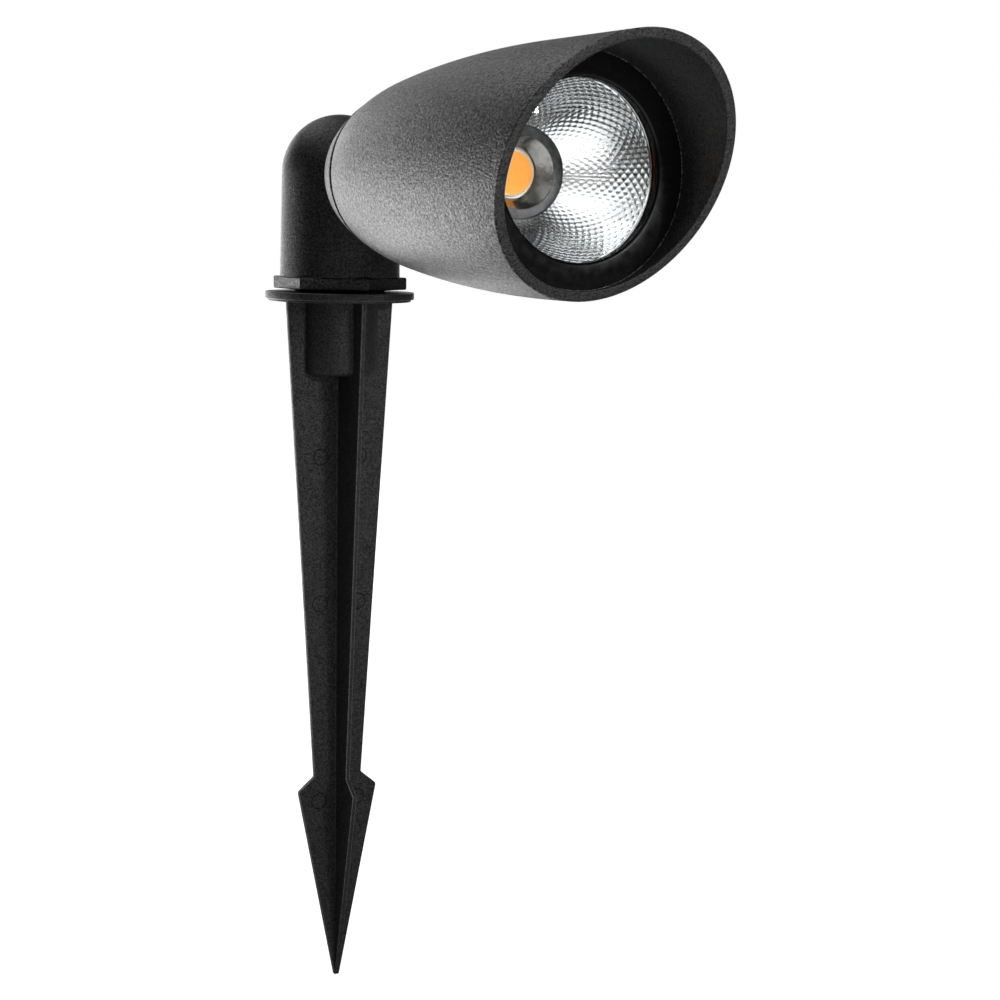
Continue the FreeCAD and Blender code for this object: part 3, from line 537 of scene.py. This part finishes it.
def hexagon(flats, height, corner, start):
    """A loop round a hexagon with rounded corners, the first corner at an angle in degrees."""
    reach = flats / math.sqrt(3)
    angles = [math.radians(start + 60 * i) for i in range(6)]
    corners = [(reach * math.cos(angle), reach * math.sin(angle), corner) for angle in angles]
    return [(p.x, p.y, height) for p in rounded(corners)]


def circle(radius, height, like):
    """A round loop whose points stand at the same angles as those of another loop."""
    return [(radius * x / math.hypot(x, y), radius * y / math.hypot(x, y), height) for x, y, _ in like]


# ---------------------------------------------------------------- head

def housing_outline():
    """Points of the bullet-shaped shell's outer and inner line, how far each one slants with the rim, and the
    number of the point where the darker coat begins, which is painted shade on the lip and inside."""
    back, back_radius, start_edge = 49.4, 26.19, 0.4
    radius, taper_end, flat_arc, join, wall = 36.1, 150.0, 575.0, 72.0, 2.95
    rim, lip_depth, bore, hood_angle = 176.95, 8, 8.05, math.radians(26.9)
    lean = math.asin((taper_end - join) / flat_arc)
    join_radius = radius - flat_arc * (1 - math.cos(lean))
    start = back + start_edge
    chord = math.hypot(join - start, join_radius - back_radius)
    turn = math.atan((join_radius - back_radius) / (join - start)) - lean
    tight_arc = chord / (2 * math.sin(turn))
    centre = (join + tight_arc * math.sin(lean), join_radius - tight_arc * math.cos(lean))

    def side(along, depth):
        """Radius of the line that lies a depth inside the shell's outer face."""
        if along > join + depth * math.sin(lean):
            return radius - flat_arc + math.sqrt((flat_arc - depth)**2 - max(taper_end - along, 0)**2)
        return centre[1] + math.sqrt((tight_arc - depth)**2 - (centre[0] - along)**2)

    rear_edge = [(bore, back), (side(back, 0), back, 0.45), (side(back + 6, 0), back + 6)]
    points = [(bore, back + 4)]
    points += [tuple(p) for p in rounded(rear_edge, closed=False)[:-1]]
    points += [(side(s, 0), s) for s in (back + 2 + (taper_end - back - 2) * i / 54 for i in range(55))]
    plain = len(points)
    lip = rounded([(radius, 0), (radius, lip_depth, 0.55), (radius - wall, lip_depth, 0.55),
                   (radius - wall, 0)], closed=False, steps=5)
    points += [(p.x, rim - lip_depth + p.y) for p in lip[1:-1]]
    edge = len(points)
    points += [(radius - wall, s) for s in (150, 116.5)] + [(28.0, 116.5), (28.0, 112.5)]
    points += [(side(s, wall), s) for s in (112.5, 100, 88, 76, 68, 60, back + 4)]
    slope = math.tan(hood_angle)
    slant = [slope if plain <= index < edge else 0 for index in range(len(points))]
    shaded_coat_begins = plain + 4
    return points, slant, shaded_coat_begins


def build_housing(looks):
    outline, slant, lip = housing_outline()
    verts, faces = turned(outline[:lip + 1], IN_HEAD, turns=192, closed=False, slant=slant[:lip + 1])
    new_piece("housing_shell", verts, faces, "head", looks["coated_metal"], ["head_housing"])
    # The lip and the inside take the darker coat, which is painted shade.
    inside, inside_slant = outline[lip:] + outline[:1], slant[lip:] + slant[:1]
    verts, faces = turned(inside, IN_HEAD, turns=192, closed=False, slant=inside_slant)
    new_piece("housing_lip_and_inside", verts, faces, "head", looks["coated_inside"])


def build_rear_cap(looks):
    bow = [(21.4 + 4.4 * share + 0.5 * share * (1 - share), 34.05 + 13.45 * share)
           for share in (0.25, 0.5, 0.75)]
    cap = rounded([(8.05, 34.05), (21.4, 34.05, 0.5), *bow, (25.8, 47.5, 0.3), (22.8, 47.5), (18.4, 37.35),
                   (8.05, 37.35)])
    verts, faces = turned(cap, IN_HEAD, turns=160)
    new_piece("rear_cap_turned", verts, faces, "head", looks["coated_metal"], ["rear_cap"])


def build_bezel_and_lens(looks):
    bezel = rounded([(25.3, 155.8), (33.1, 155.8), (33.1, 158.7, 0.35), (25.3, 158.7, 0.9)])
    verts, faces = turned(bezel, IN_HEAD, turns=192)
    new_piece("bezel_turned", verts, faces, "head", looks["bezel_black"], ["bezel_ring"])

    # A thin band on the bezel's outer edge that carries painted highlight.
    highlight_band = rounded([(32.92, 158.60), (33.12, 158.60), (33.12, 158.74), (32.92, 158.74)])
    verts, faces = turned(highlight_band, IN_HEAD, turns=192)
    new_piece("bezel_edge_line", verts, faces, "head", looks["worn_edge"])

    lens = rounded([(0.0, 152.7), (30.5, 152.7, 0.3), (30.5, 155.7, 0.3), (0.0, 155.7)])
    verts, faces = turned(lens, IN_HEAD, turns=128, closed=False)
    glass = new_piece("lens_disc", verts, faces, "head", looks["lens_clear"], ["lens_glass"])
    glass.visible_shadow = False


def cup_point(share):
    """A point (radius, along) of the reflector's inner line, by its share of the arc from neck to mouth."""
    neck, mouth = Vector((12.2, 127.8)), Vector((25.9, 152.4))
    bulge = 1.17
    chord = mouth - neck
    side = Vector((chord.y, -chord.x)).normalized()
    return neck + chord * share + side * bulge * 4 * share * (1 - share)


FACETS_END = 0.972


def build_reflector_facets(looks):
    """A cup of diamond facets in staggered rows, each one slightly crowned."""
    around, rows, cells, rise = 56, 21, 4, 0.16
    verts, faces = [], []

    def spot(row, turn, crown):
        share = min(max(row / rows, 0.0), 1.0) * FACETS_END
        point = cup_point(share)
        ahead = cup_point(min(share + 0.01, 1.0)) - cup_point(max(share - 0.01, 0.0))
        inward = Vector((-ahead.y, ahead.x)).normalized()
        point = point + inward * crown
        angle = 2 * math.pi * turn / around
        x, y = point.x * math.cos(angle) * MM, point.x * math.sin(angle) * MM
        return IN_HEAD @ Vector((x, y, point.y * MM))

    for row in range(-1, rows):
        for column in range(around):
            first = len(verts)
            for i in range(cells + 1):
                for j in range(cells + 1):
                    u, v = i / cells, j / cells
                    crown = rise * (0.35 + 0.65 * row / rows) * 16 * u * (1 - u) * v * (1 - v)
                    spin = column + 0.5 * (row % 2) + (u - v) / 2
                    verts.append(spot(row + u + v, spin, crown))
            for i in range(cells):
                for j in range(cells):
                    a = first + i * (cells + 1) + j
                    faces.append((a, a + 1, a + cells + 2, a + cells + 1))
    new_piece("reflector_facets", verts, faces, "head", looks["reflector_bright"],
              ["reflector"], sharp=9)


def build_reflector_lip(looks):
    """The plain lip round the facets and the back of the cup."""
    last, mouth = cup_point(FACETS_END), cup_point(1.0)
    lip = rounded([(last.x, last.y), (mouth.x, mouth.y, 0.25), (32.75, 152.4, 0.2), (32.75, 151.2, 0.2),
                   (27.1, 151.2), (26.4, 149.0), (19.6, 137.0), (13.4, 127.8), (12.2, 127.8)])
    verts, faces = turned([tuple(p) for p in lip], IN_HEAD, turns=160, closed=False)
    new_piece("reflector_lip", verts, faces, "head", looks["reflector_bright"])


def build_led_holder(looks):
    """A flat ring round a bright cone."""
    holder = rounded([(9.75, 123.35), (9.75, 121.9), (17.5, 121.9, 0.2), (17.5, 125.7, 0.4),
                      (12.1, 125.7, 0.3), (12.1, 127.7, 0.25), (9.7, 127.7, 0.18), (9.55, 127.45)],
                     closed=False)
    verts, faces = turned([tuple(p) for p in holder], IN_HEAD, turns=160, closed=False)
    new_piece("holder_ring", verts, faces, "head", looks["holder_metal"], ["cob_holder"])
    cone = rounded([(9.55, 127.45), (8.6, 126.2), (7.3, 124.9, 0.8), (6.65, 124.2, 0.3), (6.6, 123.35),
                    (9.75, 123.35)], closed=False)
    verts, faces = turned([tuple(p) for p in cone], IN_HEAD, turns=128, closed=False)
    new_piece("holder_cone", verts, faces, "head", looks["holder_cone"])


def build_led(looks):
    """The phosphor gel, slightly sunken, inside its dam."""
    gel = [(0.0, 123.3), (5.55, 123.3), (5.55, 123.88), (5.2, 123.80), (4.6, 123.76), (3.4, 123.78),
           (1.8, 123.80), (0.0, 123.80)]
    verts, faces = turned(gel, IN_HEAD, turns=96, closed=False)
    new_piece("phosphor_gel", verts, faces, "head", looks["phosphor_orange"],
              ["cob_phosphor"])
    dam = rounded([(5.5, 123.3), (6.2, 123.3), (6.2, 124.08, 0.33), (5.5, 124.08, 0.33)])
    verts, faces = turned([tuple(p) for p in dam], IN_HEAD, turns=96)
    new_piece("silicone_ring", verts, faces, "head", looks["dam_white"], ["cob_dam"])


def build_head(looks):
    build_housing(looks)
    build_rear_cap(looks)
    build_bezel_and_lens(looks)
    build_reflector_facets(looks)
    build_reflector_lip(looks)
    build_led_holder(looks)
    build_led(looks)


# ---------------------------------------------------------------- stake

FIN_HALF = 0.775


def build_flange(looks):
    """The flange with its stepped underside, and a light line along both of its edges that is painted highlight.
    """
    flange = rounded([(10.6, 2.2), (25.6, 2.2, 0.2), (25.6, -0.15, 0.2), (24.6, -0.15, 0.15),
                      (24.5, -0.95, 0.2), (23.7, -0.95, 0.2), (23.3, -0.05, 0.3), (10.6, -0.05)])
    verts, faces = turned(flange, UPRIGHT, turns=160)
    new_piece("stake_flange", verts, faces, "stake", looks["stake_plastic"],
              ["ground_stake"])

    rims = [turned(line, UPRIGHT, turns=160, closed=False)
            for line in ([(25.42, 2.204), (25.55, 2.15), (25.599, 2.02)],
                         [(25.599, 0.03), (25.55, -0.10), (25.42, -0.154)])]
    verts, faces = joined(*rims)
    new_piece("stake_flange_edges", verts, faces, "stake", looks["plastic_edge"], sharp=80)


def build_hub(looks):
    hub = rounded([(10.6, 0.5), (13.2, 0.5), (13.2, -26.3, 1.7), (0.0, -26.3)], closed=False)
    verts, faces = turned(hub, UPRIGHT, turns=96, closed=False)
    new_piece("stake_hub", verts, faces, "stake", looks["stake_plastic"])


def fin_edge():
    """The fins' outer edge from point to flange, as (reach, height): the barb, its shoulder and the taper."""
    return rounded([(0.8, -243.1), (15.1, -173.9, 1.5), (9.05, -168.9, 0.9), (20.1, 0.6)], closed=False)


def fin_section(reach, height):
    """A cross of four fins with rounded outer edges and small fillets where they meet."""
    half, room = FIN_HALF, reach - FIN_HALF
    fillet, edge = min(0.6, room / 4), min(0.34, room / 4)
    loop = []
    for turn in range(4):
        spin = Matrix.Rotation(math.pi / 2 * turn, 2)
        arcs = [(half + fillet, -half - fillet, fillet, (180, 150, 120, 90)),
                (reach - edge, -half + edge, edge, (-90, -60, -30, 0)),
                (reach - edge, half - edge, edge, (0, 30, 60, 90))]
        for x, y, radius, angles in arcs:
            for angle in (math.radians(degrees) for degrees in angles):
                spot = spin @ Vector((x + radius * math.cos(angle), y + radius * math.sin(angle)))
                loop.append((spot.x, spot.y, height))
    return loop


def build_fins(looks):
    verts, faces = lofted([fin_section(point.x, point.y) for point in fin_edge()])
    new_piece("stake_fins", verts, faces, "stake", looks["stake_plastic"], flats=True)


def build_fin_edges(looks):
    """A thin light strip along both corners of every fin's outer edge, painted highlight of the rounded corners.
    """
    lift = 0.02
    strips = []
    for turn in range(4):
        spin = Matrix.Rotation(math.pi / 2 * turn, 4, "Z")
        for side in (-1, 1):
            rows = []
            for point in fin_edge():
                reach, radius = point.x, min(0.34, (point.x - FIN_HALF) / 4)
                angles = [math.radians(side * (15 + 30 * step)) for step in range(3)]
                rows.append([(reach - radius + (radius + lift) * math.cos(a),
                              side * (FIN_HALF - radius) + (radius + lift) * math.sin(a), point.y)
                             for a in angles])
            strips.append(sheet(rows, spin))
    verts, faces = joined(*strips)
    new_piece("stake_fin_edges", verts, faces, "stake", looks["plastic_edge"], sharp=80)


def build_ejector_marks(looks):
    """Low dark rings round the ejector marks on the front faces of the side fins, painted shadow standing in for
    the grooves round the marks.
    """
    ring = [(2.62, -0.05), (2.62, 0.02), (2.72, 0.04), (2.85, 0.04), (2.95, 0.02), (2.95, -0.05)]
    forward = Matrix.Rotation(math.pi / 2, 4, "X")
    marks = []
    for across in (-7.3, 7.3):
        for depth in (177.9, 106.7, 54.9):
            stand = Matrix.Translation((across * MM, -FIN_HALF * MM, -depth * MM)) @ forward
            marks.append(turned(ring, stand, turns=40, closed=False))
    verts, faces = joined(*marks)
    new_piece("stake_ejector_marks", verts, faces, "stake", looks["mark_rim"], sharp=80)


def build_stake(looks):
    build_flange(looks)
    build_hub(looks)
    build_fins(looks)
    build_fin_edges(looks)
    build_ejector_marks(looks)


# ---------------------------------------------------------------- knuckle

def build_nut(looks):
    nut = [hexagon(39.2, 3.2, 0.7, 30), hexagon(39.7, 3.35, 0.8, 30), hexagon(40.0, 3.65, 0.9, 30),
           hexagon(40.0, 6.95, 0.9, 30), hexagon(39.7, 7.25, 0.8, 30), hexagon(39.2, 7.4, 0.7, 30)]
    bore = [(11.2, 7.4), (10.5, 6.7), (10.5, 3.9), (11.2, 3.2)]
    nut += [circle(radius, height, nut[0]) for radius, height in bore]
    verts, faces = lofted(nut, closed=True)
    new_piece("lock_nut_chamfered", verts, faces, "knuckle", looks["nut_metal"], ["lock_nut"],
              sharp=50, flats=True)


def build_parting_line(looks):
    """A low bead up the front of the drafted post and on over its dome."""
    foot, dome, foot_radius, draft = 7.6, 42.4, 20.6, 0.6
    straight, steps, dome_step = 16, 40, 3.2
    bead = [(-0.32, -0.08), (-0.16, 0.06), (0.0, 0.10), (0.16, 0.06), (0.32, -0.08)]
    rows = []
    for step in range(steps + 1):
        if step <= straight:
            along = foot + (dome - foot) * step / straight
            radius, out, rise = foot_radius - draft * step / straight, 1.0, 0.0
        else:
            angle = math.radians(dome_step * (step - straight))
            along, radius = dome, 20.0
            out, rise = math.cos(angle), math.sin(angle)
        rows.append([(x, -(radius + lift) * out, along + (radius + lift) * rise) for x, lift in bead])
    verts, faces = sheet(rows)
    new_piece("post_parting_line", verts, faces, "knuckle", looks["coated_elbow"], sharp=80)


def build_gland(looks):
    """The cable gland's body and its ribbed seal, drawn outward from the post's rear face."""
    behind, height = 19.0, 17.5
    on_gland = Matrix(((1, 0, 0, 0), (0, 0, 1, behind * MM), (0, -1, 0, height * MM), (0, 0, 0, 1)))
    gland = [hexagon(14.4, 0.0, 0.5, 0), hexagon(15.0, 0.3, 0.6, 0), hexagon(15.0, 2.7, 0.6, 0),
             hexagon(14.5, 3.2, 0.6, 0)]
    mouth = [(6.9, 3.5), (5.3, 3.5), (4.95, 3.2), (4.95, 0.0)]
    gland += [circle(radius, along, gland[0]) for radius, along in mouth]
    stub = rounded([(6.0, 0.0), (5.6, -0.4), (6.0, -0.8), (6.0, -6.0, 0.3), (5.6, -6.4), (3.6, -6.4),
                    (3.6, 0.0)])
    verts, faces = joined(lofted(gland, on_gland, closed=True), turned(stub, on_gland, turns=48))
    new_piece("gland_hex", verts, faces, "knuckle", looks["gland_nylon"], ["gland_body"],
              sharp=50, flats=True)
    seal = rounded([(4.9, 0.0), (4.9, 3.3, 0.2), (4.3, 3.5, 0.2), (3.4, 3.2, 0.3), (3.6, 2.6, 0.2),
                    (3.4, 2.0, 0.2), (3.6, 1.4, 0.2), (3.4, 0.8, 0.2), (3.6, 0.0)])
    verts, faces = turned(seal, on_gland, turns=64)
    new_piece("gland_seal_ribbed", verts, faces, "knuckle", looks["seal_rubber"],
              ["gland_seal"])


def build_washer(looks):
    washer = rounded([(10.5, 3.6, 0.2), (18.5, 3.6, 0.3), (18.5, 4.8, 0.3), (10.5, 4.8, 0.2)])
    verts, faces = turned(washer, ON_PIVOT, turns=96)
    new_piece("friction_washer_rounded", verts, faces, "knuckle", looks["friction_nylon"],
              ["friction_washer"])


def build_pivot_screw(looks):
    """The tilt pivot's screw from tip to knurled head, with a hexagonal socket."""
    start, top, knurl = 14.85, 19.35, 0.12
    teeth = [math.radians(5 * i) for i in range(72)]

    def ring(radius, along, tooth=0.0):
        return [((radius - tooth * (i % 2)) * math.cos(a), (radius - tooth * (i % 2)) * math.sin(a), along)
                for i, a in enumerate(teeth)]

    def socket(flats, along):
        reach = [flats / 2 / math.cos((a + math.pi / 6) % (math.pi / 3) - math.pi / 6) for a in teeth]
        return [(r * math.cos(a), r * math.sin(a), along) for r, a in zip(reach, teeth)]

    loops = [ring(2.5, -14.5), ring(3.0, -14.0), ring(3.0, start), ring(4.9, start),
             ring(5.0, start + 0.15, knurl), ring(5.0, top - 0.7, knurl), ring(4.85, top - 0.3),
             ring(4.5, top), ring(3.1, top),
             socket(5.0, top - 0.25), socket(5.0, top - 2.7), socket(0.6, top - 3.3)]
    verts, faces = lofted(loops, ON_PIVOT)
    new_piece("pivot_screw_knurled", verts, faces, "head", looks["zinc_steel"], ["pivot_screw"],
              flats=True)


def build_knuckle(looks):
    build_nut(looks)
    build_parting_line(looks)
    build_gland(looks)
    build_washer(looks)
    build_pivot_screw(looks)


# ---------------------------------------------------------------- finishing

def dress_nodes(looks):
    """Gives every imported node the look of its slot; the pieces above replace some of them."""
    slots = {part["node"]: part["material_slot"] for part in frame["record"]["subparts"]}
    for node, piece in frame["nodes"].items():
        piece.data.materials.clear()
        piece.data.materials.append(looks[slots[node]])


looks = make_looks()
add_camera()
add_room()
add_lights()
add_floor()
dress_nodes(looks)
build_head(looks)
build_stake(looks)
build_knuckle(looks)
